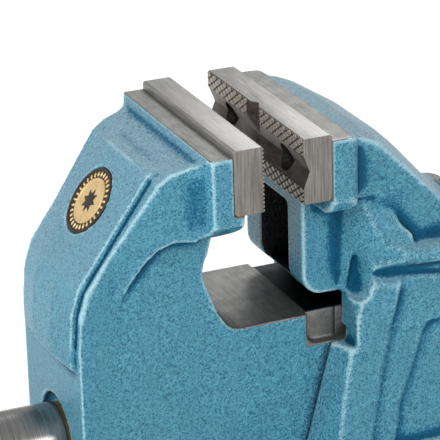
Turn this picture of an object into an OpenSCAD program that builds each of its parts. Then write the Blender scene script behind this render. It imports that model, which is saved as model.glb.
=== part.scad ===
// Bench vise with a flat and a prism jaw plate and an enclosed slide.
// +X points from the operator to the rear, +Y to the operator's left, +Z up.
// The origin is the centre of the base bolt pattern on the underside of the base.

/* [Jaws] */
// Width of both jaws
jaw_w = 120; // [110:1:130]
// Height of the jaw plate tops above the bench
jaw_top_z = 212; // [210:1:214]
// Opening between the gripping faces as drawn
gap = 20.5; // [8:0.5:24]
// Height of a jaw plate
plate_h = 34.4; // [33:0.2:36]
// Thickness of a jaw plate
plate_t = 16; // [14:0.5:18]
// Distance of each plate screw from the middle
plate_screw_y = 35; // [28:1:42]

/* [Slide] */
// Half width of the rail on top of the slide
rail_half_w = 33; // [30:0.5:34]
// Height of the rail top above the bench
rail_top_z = 108; // [107:0.5:109]
// Height of the shoulder below the rail
shoulder_z = 91; // [86:1:94]
// Half width of the slide below the shoulder
slide_half_w = 38.3; // [37:0.1:39]
// Gap left between sliding flats
slide_gap = 0.2; // [0.1:0.05:0.3]

/* [Spindle] */
// Height of the spindle axis above the bench
spindle_z = 49; // [47:1:50]
// Radius of the spindle head
head_r = 19; // [17:0.5:20]
// Radius of the screw over its thread
screw_r = 13; // [12:0.5:13.5]
// Length of the handle bar between the knobs
handle_l = 210; // [180:5:240]
// Radius of the handle bar
handle_r = 7; // [6:0.5:8]

/* [Base] */
// Distance between the bolt holes along X
bolt_dx = 120; // [116:1:122]
// Distance between the bolt holes along Y
bolt_dy = 134; // [132:1:138]
// Radius of a base bolt hole
bolt_r = 6.5; // [5.5:0.5:7]

/* [Hidden] */
$fn = 64;

paint = [0.25, 0.55, 0.64];
steel = [0.66, 0.65, 0.63];
dark_steel = [0.36, 0.35, 0.34];
bronze = [0.62, 0.5, 0.28];
far = 200;                                  // longer than any part, for cuts that run right through

// Jaws
rear_face_x = -65;                          // gripping face of the fixed jaw
front_face_x = rear_face_x - gap;           // gripping face of the moving jaw
rear_seat_x = rear_face_x + plate_t;
front_seat_x = front_face_x - plate_t;
plate_z = jaw_top_z - plate_h;              // underside of the plates
groove_z = jaw_top_z - plate_h / 2;         // middle of the horizontal V groove
groove_h = 17;
groove_d = 4;
upright_w = 13.6;
upright_d = 3.7;
screw_d = 8;                                // plate screw thread
plate_screw_seat = 12.5;                    // depth of the counterbore in a plate
thread_gap = 0.05;
tap_r = screw_d / 2 + thread_gap;           // threaded holes for the plate screws
tap_l = 19;
half_jaw = jaw_w / 2;
ledge_gap = 0.1;                            // plate to the ledge under it
cavity_half_w = 17;                         // hollow between the ribs of the fixed jaw
cavity_rear_x = -24;

// Slide
slide_rear_x = 160;
slide_z = 22.2;                             // underside of the slide
floor_z = 22;                               // floor of the guide in the base
channel_half_w = 24;
channel_top_z = spindle_z + 35;
channel_front_x = -150;                     // rear of the wall that carries the spindle
shoulder_front_x = -54;                     // the rail starts here
lip_x = -32.6;                              // front of the guide lips

// Front of the moving jaw
pad_edge_d = 2.2;                           // how proud the raised pad is at its edges
pad_crown_d = 5.2;                          // and along its middle
pad_half_w = 35.5;
trench_w = 2.6;
trench_d = 1.4;
slope_tilt = 54;                            // slope of the front below the jaw, degrees

// Spindle
front_x = -179.75;                          // front of the moving jaw at spindle height
recess_r = 24;
recess_x = front_x + 4;
washer_t = 3;
head_rear_x = recess_x - washer_t;
head_front_x = -233;
handle_x = -221;
journal_r = 14;
collar_x = channel_front_x + 0.3;
collar_l = 10;
collar_r = 18;
pin_r = 2.5;
screw_end_x = 152;
bore_gap = 0.3;

// Nut
nut_x = [-30, 20];
nut_half_w = 21;
nut_bolt_x = [-18, 8];
nut_bolt_r = 5;
bolt_head_r = 8;
bolt_head_h = 8;
washer_h = 2;
bolt_seat_z = 12.5;

// Gib beside the slide, its screws and their lock nuts
gib_x = [-26, 50];
gib_y = [38.5, 42.5];
gib_z = [30, 62];
gib_screw_x = [-12, 12, 36];
gib_screw_z = 46;
gib_screw_r = 4;
gib_nut_y = 61;

// Cover on the rear end of the slide
cover_t = 3;
cover_screw_yz = [[-31, 32], [31, 32], [-25, 98], [25, 98]];
cover_screw_r = 2.5;

// Medallion
badge_r = 18;
badge_place = [-154.1, 0, 174.6];

// Base
base_t = 16;
lug_r = 18;
lug_root_y = 44;                            // middle of the wide end of a lug

// Steps on the flanks of the pedestal
band_d = 1.2;
panel_d = 2.6;

// Points of an arc about (cx, cy), angles in degrees
function arc(cx, cy, r, a0, a1, n = 6) =
    [for (i = [0:n]) let (a = a0 + (a1 - a0) * i / n) [cx + r * cos(a), cy + r * sin(a)]];

// A half outline followed by its mirror image in the X axis
function both_sides(half) =
    concat(half, [for (i = [len(half) - 1:-1:0]) [half[i][0], -half[i][1]]]);

// A half outline (distance from the middle, height) closed by its mirror image
function both_flanks(half) =
    concat(half, [for (i = [len(half) - 1:-1:0]) [-half[i][0], half[i][1]]]);

// Outline in X and Z, as thick as 2 * half_w across Y
module side(points, half_w) {
    rotate([90, 0, 0])
        linear_extrude(height = 2 * half_w, center = true)
            polygon(points);
}

// Outline in X and Y between two heights
module plan(points, z0, z1) {
    translate([0, 0, z0])
        linear_extrude(height = z1 - z0)
            polygon(points);
}

// Outline in Y and Z between two X places
module section(points, x0, x1) {
    translate([x0, 0, 0])
        rotate([90, 0, 90])
            linear_extrude(height = x1 - x0)
                polygon(points);
}

// Box from its lowest to its highest corner
module block(low, high) {
    translate(low)
        cube(high - low);
}

// Rod along X
module rod_x(r, x0, x1, y = 0, z = spindle_z) {
    translate([x0, y, z])
        rotate([0, 90, 0])
            cylinder(r = r, h = x1 - x0);
}

// Rod along Y
module rod_y(r, y0, y1, x, z) {
    translate([x, y0, z])
        rotate([-90, 0, 0])
            cylinder(r = r, h = y1 - y0);
}

// Rod along Z
module rod_z(r, z0, z1, x, y) {
    translate([x, y, z0])
        cylinder(r = r, h = z1 - z0);
}

// ---------------------------------------------------------------- fixed jaw

// Full width slab behind the rear plate, with the ledge under it and rounded rear corners
module rear_slab() {
    outline = concat(
        [[rear_seat_x, 208.4], [-35.2, 208.4], [-32, 205], [-32, 176]],
        arc(-40, 176, 8, 0, -70),
        [[-49, 166.5]],
        arc(-54, 172.5, 6, -90, -180),
        [[-60, plate_z - ledge_gap], [rear_seat_x, plate_z - ledge_gap]]);
    flank = both_flanks([[half_jaw, jaw_top_z], [half_jaw, 175], [55, 169], [34, 160]]);
    footprint = both_sides(concat([[rear_seat_x, half_jaw]], arc(-40, half_jaw - 8, 8, 90, 0, 5)));
    intersection() {
        side(outline, half_jaw);
        section(flank, -70, -20);
        plan(footprint, 100, 215);
    }
}

// Two ribs that carry the slab, joined at the back
module rear_ribs() {
    outline = concat(
        [[-55, 176], [-55, 128]],
        arc(-44, 128, 11, 180, 270),
        [[-32, 117], [-20, 117], [-20, 176]]);
    side(outline, 36);
}

// Rear slope, narrowing to the anvil, with bevelled upper edges. It is widest at the slab.
module rear_slope() {
    crest = [[-49, 208], [-35, 208], [-22.5, 205], [-8, 196.6], [1, 187.8], [29, 156.2], [45, 136],
             [50, 118], [-34, 118]];
    shoulder = [[-49, 207], [-34, 207], [-28, 205.4], [-20, 202], [-12, 193], [0, 175], [15, 153.5],
                [30, 134], [50, 128], [50, 118], [-34, 118]];
    flank = both_flanks([[57, 212], [55, 203], [52, 190], [49.6, 178], [48.4, 168], [48, 100]]);
    upper = both_sides([[-49, 55], [-26, 55], [-16, 53.4], [0, 51], [50, 42]]);
    lower = both_sides([[-49, 36], [-34, 36], [-32.4, 40], [-29.4, 43.6], [-25, 46.4], [-19, 48.6],
                        [-11, 49.8], [-2, 49.6], [50, 42]]);
    intersection() {
        hull() {
            side(crest, 24);
            side(shoulder, 51);
            side([for (p = shoulder) [p[0] * 0.97 - 1, p[1] - 0.8]], 56);
        }
        section(flank, -50, 60);
        union() {
            plan(upper, 171, 215);
            plan(lower, 100, 172);
        }
    }
}

// Tilts the belt and the top of the pedestal down to the rear
module belt_tilt() {
    translate([-22, 0, 146])
        rotate([0, 8.5, 0])
            translate([22, 0, -146])
                children();
}

// Lobe under each end of the slab, and the rounded belt that goes on from it
module rear_belt() {
    lobe_flank = both_flanks([[44, 176], [46, 176], [49, 163], [53, 149], [54.5, 144], [50, 136], [40, 128]]);
    lobe = [[-36, 110], [-36, 163], [-33, 172], [-26, 170.5], [-17, 166.5], [-10, 160], [-6, 153], [-1, 148],
            [-1, 110]];
    belt_flank = both_flanks(concat(
        [[40, 152], [46, 150], [51, 147.6]],
        arc(50.5, 140.8, 6.5, 65, -50),
        [[50, 131.5], [47, 127.5], [46, 123], [47, 110], [47, 90]]));
    belt = [[-34, 110], [-34, 160], [34, 152], [50, 141], [64, 136], [78, 122], [82, 110]];
    footprint = both_sides([[-49, 36], [-36, 36], [-32, 42], [-28, 46.5], [-22, 51], [-15, 54.6], [-6, 57],
                            [40, 57], [84, 36]]);
    intersection() {
        plan(footprint, 100, 180);
        union() {
            intersection() {
                section(lobe_flank, -70, 0);
                side(lobe, 62);
            }
            intersection() {
                belt_tilt()
                    section(belt_flank, -70, 100);
                side(belt, 62);
            }
        }
    }
}

// Pedestal around the slide, its front corners bevelled
module rear_pedestal() {
    flank = both_flanks([[52.1, 130], [53, 96], [59, base_t - 2], [59, 0]]);
    brow = both_flanks([[44, 130], [49, 127.4], [53.5, 121.5], [62, 108], [62, -60]]);
    middle = [[-30, 127], [-35.5, 112], [-54, 38], [-62, base_t], [-62, 0], [88, 0], [88, 100], [80, 112]];
    outer = [[-24, 127], [-33.5, 90], [-45, 41], [-50, base_t], [-50, 0], [66, 0], [66, 114]];
    intersection() {
        section(flank, -70, 90);
        belt_tilt()
            section(brow, -90, 110);
        hull() {
            side(middle, 41.5);
            side(outer, 53);
            side([for (p = outer) [p[0] * 0.96, p[1]]], 60);
        }
    }
}

// Anvil behind the slope
module anvil() {
    outline = concat(
        [[54, 108]],
        arc(61, 135, 7, 180, 90, 5),
        arc(90, 136, 6, 90, 0, 4),
        [[96, 126], [80, 108]]);
    footprint = both_sides([[40, 30], [88, 30], [97, 22]]);
    intersection() {
        side(outline, 30);
        plan(footprint, 100, 160);
    }
}

// Base plate with a lug at each corner
module base_plate() {
    block([-66, -56, 0], [82, 56, base_t]);
    for (sx = [-1, 1], sy = [-1, 1])
        hull() {
            translate([sx * bolt_dx / 2, sy * bolt_dy / 2, 0])
                cylinder(r = lug_r, h = base_t, $fn = 32);
            translate([sx * bolt_dx / 2 - sx * 6, sy * lug_root_y, 0])
                cylinder(r = lug_r + 8, h = base_t, $fn = 32);
        }
}

// Opening for the slide, its gib and the nut bolts
module guide_opening() {
    low = slide_half_w + slide_gap;
    high = rail_half_w + slide_gap;
    block([-far, -low, floor_z], [far, low, shoulder_z + slide_gap]);
    block([-far, -high, floor_z], [far, high, rail_top_z + slide_gap]);
    block([-far, -high, floor_z], [-20, high, 117]);
    block([-far, -60, shoulder_z], [lip_x, 60, 116.9]);
    side([[lip_x - 1, shoulder_z], [lip_x + 7, shoulder_z], [lip_x - 1, shoulder_z + 8]], low);
    block([gib_x[0] - 0.5, slide_half_w, gib_z[0] - 0.5], [gib_x[1] + 0.5, gib_y[1], gib_z[1] + 0.5]);
    for (x = gib_screw_x)
        rod_y(gib_screw_r + thread_gap, gib_y[0], 80, x, gib_screw_z);
    for (x = nut_bolt_x) {
        rod_z(nut_bolt_r + 0.5, -1, floor_z + 1, x, 0);
        rod_z(bolt_head_r + 1.5, -1, bolt_seat_z, x, 0);
    }
}

// Thin step that follows an outline on the leaning flank of the pedestal
module flank_step(points, depth) {
    lean = atan2(6, 82);
    for (s = [-1, 1])
        translate([0, s * (53 - depth), 96])
            rotate([s * lean, 0, 0])
                translate([0, s * 10, -96])
                    side(points, 10);
}

module rear_body() {
    panel = concat(
        arc(12, 90, 8, 90, 172, 4),
        [[-10, 56], [-14, 32], [52, 32], [62, 98]]);
    band = [[-3, 131], [-7.5, 119], [-14, 99], [-20, 77], [-28, 37], [-28, 32], [70, 32], [76, 131]];
    valley = [[-29.2, 150], [-27.6, 139], [-25.5, 128], [-26, 117], [-33.5, 117], [-30.5, 128], [-29.8, 140]];
    color(paint)
        difference() {
            union() {
                rear_slab();
                rear_ribs();
                rear_slope();
                rear_belt();
                rear_pedestal();
                anvil();
                base_plate();
            }
            guide_opening();
            block([-70, -cavity_half_w, 120], [cavity_rear_x, cavity_half_w, 163]);
            flank_step(band, band_d);
            flank_step(panel, panel_d);
            for (s = [-1, 1]) {
                translate([0, s * 45.5, 0])
                    side(valley, 10);
                rod_x(tap_r, rear_seat_x - 1, rear_seat_x + tap_l, s * plate_screw_y, groove_z);
                for (x = [-1, 1])
                    rod_z(bolt_r, -1, base_t + 30, x * bolt_dx / 2, s * bolt_dy / 2);
            }
        }
}

// ---------------------------------------------------------------- moving jaw

// Front outline from the seat to the underside, moved out by d on the slope and front
function front_outline(d) = [
    [-116, 204 + d], [-122, 202 + d], [-129.5, 200 + d], [-136 - 0.5 * d, 195.5 + 0.8 * d],
    [-166.5 - 0.8 * d, 153.5 + 0.5 * d], [-174 - d, 143 + 0.3 * d], [-178 - d, 131], [-179.5 - d, 113]];

// Flared upper part: slab behind the plate and the sides down to the crease
module front_head() {
    outline = concat(
        [[front_seat_x, 208], [-113.3, 208]],
        front_outline(0),
        [[-172, 112], [-162, 129], [-152.5, 143], [-144.5, 154], [-137, 161], [-129, 164], [-113, 163.5]],
        [[-104, 164.5]],
        arc(-102, 171, 6, -90, 0),
        [[-96, plate_z - ledge_gap], [front_seat_x, plate_z - ledge_gap]]);
    footprint = both_sides(concat(
        [[-90, half_jaw], [-112.5, half_jaw]],
        arc(-124.5, 59, 11, -15, -75, 5),
        [[-130, 46.8], [-136, 46], [-161, 41.6], [-182, 42.4]]));
    flank = both_flanks([[half_jaw, jaw_top_z], [half_jaw, 173], [56, 169], [38, 158], [38, 100]]);
    intersection() {
        side(outline, half_jaw);
        plan(footprint, 100, 215);
        union() {
            section(flank, -118, -90);
            block([-190, -60, 100], [-117.9, 60, 215]);
        }
    }
}

// Lower part with the throat, and the front wall
module front_trunk() {
    throat = concat(
        [[-104, 166]],
        arc(-95, 142, 16, 145, 200, 6),
        [[-104, 120]],
        arc(-90, 120, 12, 225, 270, 4));
    outline = concat(
        [[-104, 200], [-118, 200]],
        [for (p = front_outline(0)) if (p[0] < -120) p],
        [[-179.75, 26]],
        arc(-167.75, 24, 12, 180, 270, 5),
        [[-130, 12], [-118, slide_z], [-40, slide_z], [shoulder_front_x, shoulder_z]],
        arc(shoulder_front_x + 6, shoulder_z + 6, 6, -90, -180, 5),
        [[shoulder_front_x, rail_top_z]],
        [for (i = [len(throat) - 1:-1:0]) throat[i]]);
    taper = both_sides([[-185, 42.6], [-80, slide_half_w], [-30, slide_half_w]]);
    intersection() {
        side(outline, 45);
        plan(taper, 0, 215);
    }
}

// Slide that runs through the fixed body
module front_slide() {
    block([-110, -slide_half_w, slide_z], [slide_rear_x, slide_half_w, shoulder_z]);
    block([-80, -rail_half_w, shoulder_z - 1], [slide_rear_x, rail_half_w, rail_top_z]);
}

// Outline of the pad, as proud as d
function pad_outline(d) = let (proud = front_outline(d)) concat(
    [[-128.5, 200]],
    [for (i = [3:7]) proud[i]],
    [[-179.5 - d, 102], [-179, 99.5], [-170, 99.5], [-140, 180]]);

// Raised pad on the front and the slope, crowned across its width
module front_pad() {
    hull() {
        side(pad_outline(pad_edge_d), pad_half_w);
        side(pad_outline(pad_crown_d), 13);
    }
}

// Trench along both edges of the pad
module pad_trenches() {
    proud = front_outline(3);
    sunk = front_outline(-trench_d);
    for (s = [-1, 1])
        translate([0, s * (pad_half_w + trench_w / 2), 0])
            side(concat([for (i = [3:7]) proud[i]], [for (i = [7:-1:3]) sunk[i]]), trench_w / 2);
}

// Place on the floor of the medallion's recess, its axis square to the slope
module on_slope() {
    translate(badge_place)
        rotate([0, -slope_tilt, 0])
            children();
}

module front_jaw() {
    color(paint)
        difference() {
            union() {
                front_head();
                front_trunk();
                front_slide();
                front_pad();
            }
            block([channel_front_x, -channel_half_w, -1], [far, channel_half_w, channel_top_z]);
            rod_x(journal_r + 0.06, -190, channel_front_x + 1);
            rod_x(recess_r, -190, recess_x);
            pad_trenches();
            on_slope()
                cylinder(r = badge_r + 0.4, h = 10);
            for (s = [-1, 1])
                rod_x(tap_r, front_seat_x - tap_l, front_seat_x + 1, s * plate_screw_y, groove_z);
            for (p = cover_screw_yz)
                rod_x(cover_screw_r + thread_gap, slide_rear_x - 12, slide_rear_x + 1, p[0], p[1]);
        }
}

// ---------------------------------------------------------------- jaw plates

// Block of a jaw plate with its screw holes, the gripping face towards -X at x = 0
module plate_blank(face) {
    back = [[0.6, 0], [plate_t - 1.5, 0], [plate_t, 1.5], [plate_t, plate_h - 0.8],
            [plate_t - 0.8, plate_h], [1, plate_h]];
    difference() {
        side(concat(face, back), half_jaw);
        for (s = [-1, 1]) {
            rod_x(screw_d / 2 + 0.5, -1, plate_t + 1, s * plate_screw_y, plate_h / 2);
            rod_x(7, -1, plate_screw_seat, s * plate_screw_y, plate_h / 2);
        }
    }
}

module flat_plate() {
    plate_blank([[0, plate_h - 1], [0, 0.6]]);
}

// Plate with a horizontal and an upright V groove for round work
module prism_plate() {
    h = groove_h / 2;
    difference() {
        plate_blank([[0, plate_h - 1], [0, plate_h / 2 + h], [groove_d, plate_h / 2], [0, plate_h / 2 - h],
                     [0, 0.6]]);
        plan([[-1, -upright_w / 2 - 1.8], [-1, upright_w / 2 + 1.8], [upright_d, 0]], -1, plate_h + 1);
    }
}

// Socket head screw, under-head face at x = 0 and its tip towards +X
module cap_screw(thread_r, thread_l, cap_r, cap_h, key_r) {
    rod_x(thread_r, 0, thread_l, 0, 0);
    difference() {
        rod_x(cap_r, -cap_h, 0, 0, 0);
        rotate([0, 90, 0])
            translate([0, 0, -cap_h - 1])
                cylinder(r = key_r, h = cap_h * 0.6 + 1, $fn = 6);
    }
}

module plate_screw() {
    cap_screw(screw_d / 2, 20, 6.5, 6, 3.4);
}

module rear_jaw_plate() {
    color(steel)
        translate([rear_face_x, 0, plate_z])
            prism_plate();
}

module front_jaw_plate() {
    color(steel)
        translate([front_face_x, 0, plate_z])
            mirror([1, 0, 0])
                flat_plate();
}

module rear_plate_screws() {
    color(dark_steel)
        for (s = [-1, 1])
            translate([rear_face_x + plate_screw_seat, s * plate_screw_y, groove_z])
                plate_screw();
}

module front_plate_screws() {
    color(dark_steel)
        for (s = [-1, 1])
            translate([front_face_x - plate_screw_seat, s * plate_screw_y, groove_z])
                mirror([1, 0, 0])
                    plate_screw();
}

// ---------------------------------------------------------------- spindle group

module spindle() {
    color(steel)
        difference() {
            union() {
                rotate([0, 90, 0])
                    translate([-spindle_z, 0, head_front_x])
                        rotate_extrude()
                            polygon([[0, 0], [head_r - 4, 0], [head_r - 1, 1.2], [head_r, 4],
                                     [head_r, head_rear_x - head_front_x], [0, head_rear_x - head_front_x]]);
                rod_x(journal_r, head_rear_x, collar_x + collar_l + 2);
                rod_x(screw_r, collar_x + collar_l, screw_end_x - 2);
                rod_x(screw_r - 2.5, screw_end_x - 3, screw_end_x);
            }
            rod_y(handle_r + bore_gap, -30, 30, handle_x, spindle_z);
            rod_y(pin_r, -30, 30, collar_x + collar_l / 2, spindle_z);
        }
}

module thrust_washer() {
    color(bronze)
        difference() {
            rod_x(head_r - 0.5, recess_x - washer_t + 0.05, recess_x);
            rod_x(journal_r + bore_gap, -200, 0);
        }
}

module retaining_collar() {
    color(dark_steel)
        difference() {
            rod_x(collar_r, collar_x, collar_x + collar_l);
            rod_x(journal_r, -200, 0);
            rod_y(pin_r, -30, 30, collar_x + collar_l / 2, spindle_z);
        }
}

module collar_pin() {
    color(steel)
        rod_y(pin_r, -collar_r + 0.6, collar_r - 0.6, collar_x + collar_l / 2, spindle_z);
}

module handle_bar() {
    color(steel)
        rod_y(handle_r, -handle_l / 2 - 12, handle_l / 2 + 12, handle_x, spindle_z);
}

// Knob on one end of the handle bar, s is the side
module knob(s) {
    translate([handle_x, 0, spindle_z])
        rotate([-90 * s, 0, 0])
            translate([0, 0, handle_l / 2])
                rotate_extrude()
                    polygon([[handle_r, 0], [9.5, 0], [11.5, 2.5], [12, 6], [12, 14], [11, 18], [8.5, 20.5],
                             [4, 21.5], [0, 21.5], [0, 12], [handle_r, 12]]);
}

module handle_knob_left() {
    color(steel)
        knob(1);
}

module handle_knob_right() {
    color(steel)
        knob(-1);
}

module handle_bumper_rings() {
    color([0.08, 0.08, 0.08])
        for (s = [-1, 1])
            translate([handle_x, s * (handle_l / 2 - 2.2), spindle_z])
                rotate([90, 0, 0])
                    rotate_extrude()
                        translate([handle_r + 2.1, 0])
                            circle(r = 2.1, $fn = 24);
}

// ---------------------------------------------------------------- inside the fixed body

module spindle_nut() {
    top = spindle_z + 22;
    color(bronze)
        difference() {
            section(both_flanks([[nut_half_w, floor_z], [nut_half_w, top - 8], [nut_half_w - 8, top]]),
                    nut_x[0], nut_x[1]);
            rod_x(screw_r + bore_gap, -far, far);
            for (x = nut_bolt_x)
                rod_z(nut_bolt_r + thread_gap, floor_z - 1, spindle_z, x, 0);
        }
}

module nut_bolts() {
    color(dark_steel)
        for (x = nut_bolt_x) {
            rod_z(nut_bolt_r, bolt_seat_z - washer_h, 34, x, 0);
            translate([x, 0, bolt_seat_z - washer_h - bolt_head_h])
                difference() {
                    cylinder(r = bolt_head_r, h = bolt_head_h);
                    translate([0, 0, -1])
                        cylinder(r = 4.6, h = 6, $fn = 6);
                }
        }
}

module nut_bolt_washers() {
    color(steel)
        for (x = nut_bolt_x)
            difference() {
                rod_z(bolt_head_r + 0.5, bolt_seat_z - washer_h, bolt_seat_z, x, 0);
                rod_z(nut_bolt_r + 0.2, 0, floor_z, x, 0);
            }
}

// Flat strip beside the slide, set up by screws through the left wall
module guide_gib() {
    color(bronze)
        block([gib_x[0], gib_y[0], gib_z[0]], [gib_x[1], gib_y[1], gib_z[1]]);
}

module gib_screws() {
    color(dark_steel)
        for (x = gib_screw_x)
            difference() {
                rod_y(gib_screw_r, gib_y[1], gib_nut_y + 9, x, gib_screw_z);
                translate([x, gib_nut_y + 5, gib_screw_z])
                    rotate([-90, 0, 0])
                        cylinder(r = 2.3, h = 6, $fn = 6);
            }
}

module gib_lock_nuts() {
    color(steel)
        for (x = gib_screw_x)
            translate([x, gib_nut_y, gib_screw_z])
                rotate([-90, 0, 0])
                    difference() {
                        cylinder(r = 7.5, h = 6, $fn = 6);
                        translate([0, 0, -1])
                            cylinder(r = gib_screw_r + thread_gap, h = 8);
                    }
}

// ---------------------------------------------------------------- trim of the moving jaw

module badge() {
    color(bronze)
        on_slope()
            rotate_extrude()
                polygon([[0, 0], [badge_r, 0], [badge_r, 1.6], [badge_r - 0.6, 2.2],
                         [badge_r - 2, 2.2], [badge_r - 2.4, 1.7], [0, 1.7]]);
}

module slide_end_cover() {
    inset = 0.8;
    low = slide_half_w - inset;
    high = rail_half_w - inset;
    outline = both_flanks([[low, slide_z + inset], [low, shoulder_z - inset], [high, shoulder_z - inset],
                           [high, rail_top_z - inset]]);
    color([0.1, 0.1, 0.11])
        difference() {
            section(outline, slide_rear_x, slide_rear_x + cover_t);
            for (p = cover_screw_yz)
                rod_x(cover_screw_r + bore_gap, slide_rear_x - 1, slide_rear_x + cover_t + 1, p[0], p[1]);
        }
}

module cover_screws() {
    color(dark_steel)
        for (p = cover_screw_yz)
            translate([slide_rear_x + cover_t, p[0], p[1]])
                mirror([1, 0, 0])
                    cap_screw(cover_screw_r, 13, 4.5, 3, 1.7);
}

rear_body();
front_jaw();
rear_jaw_plate();
front_jaw_plate();
rear_plate_screws();
front_plate_screws();
spindle();
thrust_washer();
retaining_collar();
collar_pin();
spindle_nut();
nut_bolts();
nut_bolt_washers();
handle_bar();
handle_knob_left();
handle_knob_right();
handle_bumper_rings();
badge();
guide_gib();
gib_screws();
gib_lock_nuts();
slide_end_cover();
cover_screws();
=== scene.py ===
import math

import bmesh
import bpy
import numpy as np
from mathutils import Matrix, Vector


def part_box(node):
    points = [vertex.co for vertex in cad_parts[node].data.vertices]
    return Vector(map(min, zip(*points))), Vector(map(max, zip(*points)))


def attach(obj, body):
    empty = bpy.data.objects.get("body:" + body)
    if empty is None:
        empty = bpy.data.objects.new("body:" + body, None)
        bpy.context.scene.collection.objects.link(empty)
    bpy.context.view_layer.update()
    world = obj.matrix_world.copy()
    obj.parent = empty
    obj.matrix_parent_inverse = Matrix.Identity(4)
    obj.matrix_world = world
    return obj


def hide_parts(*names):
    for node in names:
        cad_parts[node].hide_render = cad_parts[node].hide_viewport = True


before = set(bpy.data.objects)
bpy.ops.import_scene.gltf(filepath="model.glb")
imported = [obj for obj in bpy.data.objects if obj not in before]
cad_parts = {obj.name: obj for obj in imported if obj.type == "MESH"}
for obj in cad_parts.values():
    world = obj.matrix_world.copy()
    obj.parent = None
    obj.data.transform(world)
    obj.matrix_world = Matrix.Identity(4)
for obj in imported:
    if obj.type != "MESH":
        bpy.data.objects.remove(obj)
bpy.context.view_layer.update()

# ------------------------------------------------------------------ the frame

MM = 0.001

front_plate_low, front_plate_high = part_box("front_jaw_plate")
rear_plate_low, rear_plate_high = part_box("rear_jaw_plate")
spindle_low, spindle_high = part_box("spindle")
bar_low, bar_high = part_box("handle_bar")
badge_low, badge_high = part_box("badge")

plate_top = front_plate_high.z
half_jaw = front_plate_high.y
gap_middle_x = (front_plate_high.x + rear_plate_low.x) / 2
spindle_z = (bar_low.z + bar_high.z) / 2
handle_x = (bar_low.x + bar_high.x) / 2

SHOULDER_X = -54 * MM        # where the rail and the shoulders beside it start
SPLIT_X = -36 * MM           # the painted casting ends and the machined slide goes on
RAIL_TOP = 108 * MM          # machined top of the slide
RAIL_HALF = 33 * MM          # half its width there
SHOULDER_TOP = 91 * MM
SLIDE_HALF = 38.3 * MM       # half the slide's width below the shoulders
SLIDE_BOTTOM = 22.2 * MM
SLIDE_GAP = 0.2 * MM         # between the slide and its guide
FAR = 1.0                    # beyond the vise on every side


# ------------------------------------------------------------------ camera, lights and floor

VIEW_AZIMUTH = math.radians(-22.398)
VIEW_ELEVATION = math.radians(21.627)
VIEW_ROLL = math.radians(-1.726)
VIEW_DISTANCE = 1384.015 * MM
VIEW_SHIFT = (-7.183 * MM, -57.186 * MM)     # the aim, right and up of the middle of the jaw gap
LENS = 223.624
SENSOR = 36.0


def add(name, data):
    thing = bpy.data.objects.new(name, data)
    bpy.context.scene.collection.objects.link(thing)
    return thing


def make_camera():
    back = Vector((math.sin(VIEW_AZIMUTH) * math.cos(VIEW_ELEVATION),
                   -math.cos(VIEW_AZIMUTH) * math.cos(VIEW_ELEVATION),
                   math.sin(VIEW_ELEVATION)))
    level = Vector((math.cos(VIEW_AZIMUTH), math.sin(VIEW_AZIMUTH), 0))
    above = back.cross(level)
    right = level * math.cos(VIEW_ROLL) + above * math.sin(VIEW_ROLL)
    up = above * math.cos(VIEW_ROLL) - level * math.sin(VIEW_ROLL)
    aim = Vector((gap_middle_x, 0, plate_top)) + right * VIEW_SHIFT[0] + up * VIEW_SHIFT[1]
    camera = add("camera", bpy.data.cameras.new("camera"))
    turn = Matrix((right, up, back)).transposed().to_4x4()
    camera.matrix_world = Matrix.Translation(aim + back * VIEW_DISTANCE) @ turn
    camera.data.sensor_width = SENSOR
    camera.data.lens = LENS
    camera.data.clip_end = 20
    bpy.context.scene.camera = camera


def area_light(name, place, aim, size, power):
    lamp = bpy.data.lights.new(name, "AREA")
    lamp.shape = "RECTANGLE"
    lamp.size, lamp.size_y = size
    lamp.energy = power
    light = add(name, lamp)
    light.location = place
    light.rotation_euler = (Vector(place) - Vector(aim)).to_track_quat("Z", "Y").to_euler()


def make_stage():
    centre = (-0.05, 0, 0.1)
    area_light("key_softbox", (-1.3, -1.2, 1.5), centre, (0.8, 0.8), 24)
    area_light("side_softbox", (0.5, -1.8, 0.9), centre, (0.6, 0.5), 8)
    area_light("rear_softbox", (0.9, 1.2, 1.4), centre, (1.0, 0.6), 14)
    area_light("front_softbox", (-1.7, 0.4, 0.9), centre, (0.8, 0.6), 12)
    world = bpy.data.worlds.new("studio")
    bpy.context.scene.world = world
    world.use_nodes = True
    background = world.node_tree.nodes["Background"]
    background.inputs["Color"].default_value = (1, 1, 1, 1)
    background.inputs["Strength"].default_value = 0.54
    mesh = bpy.data.meshes.new("floor")
    reach = 6
    corners = [(-reach, -reach, 0), (reach, -reach, 0), (reach, reach, 0), (-reach, reach, 0)]
    mesh.from_pydata(corners, [], [(0, 1, 2, 3)])
    floor = add("floor", mesh)
    floor.data.materials.append(floor_material())
    bpy.context.scene.view_settings.view_transform = "Standard"


# ------------------------------------------------------------------ materials

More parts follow.
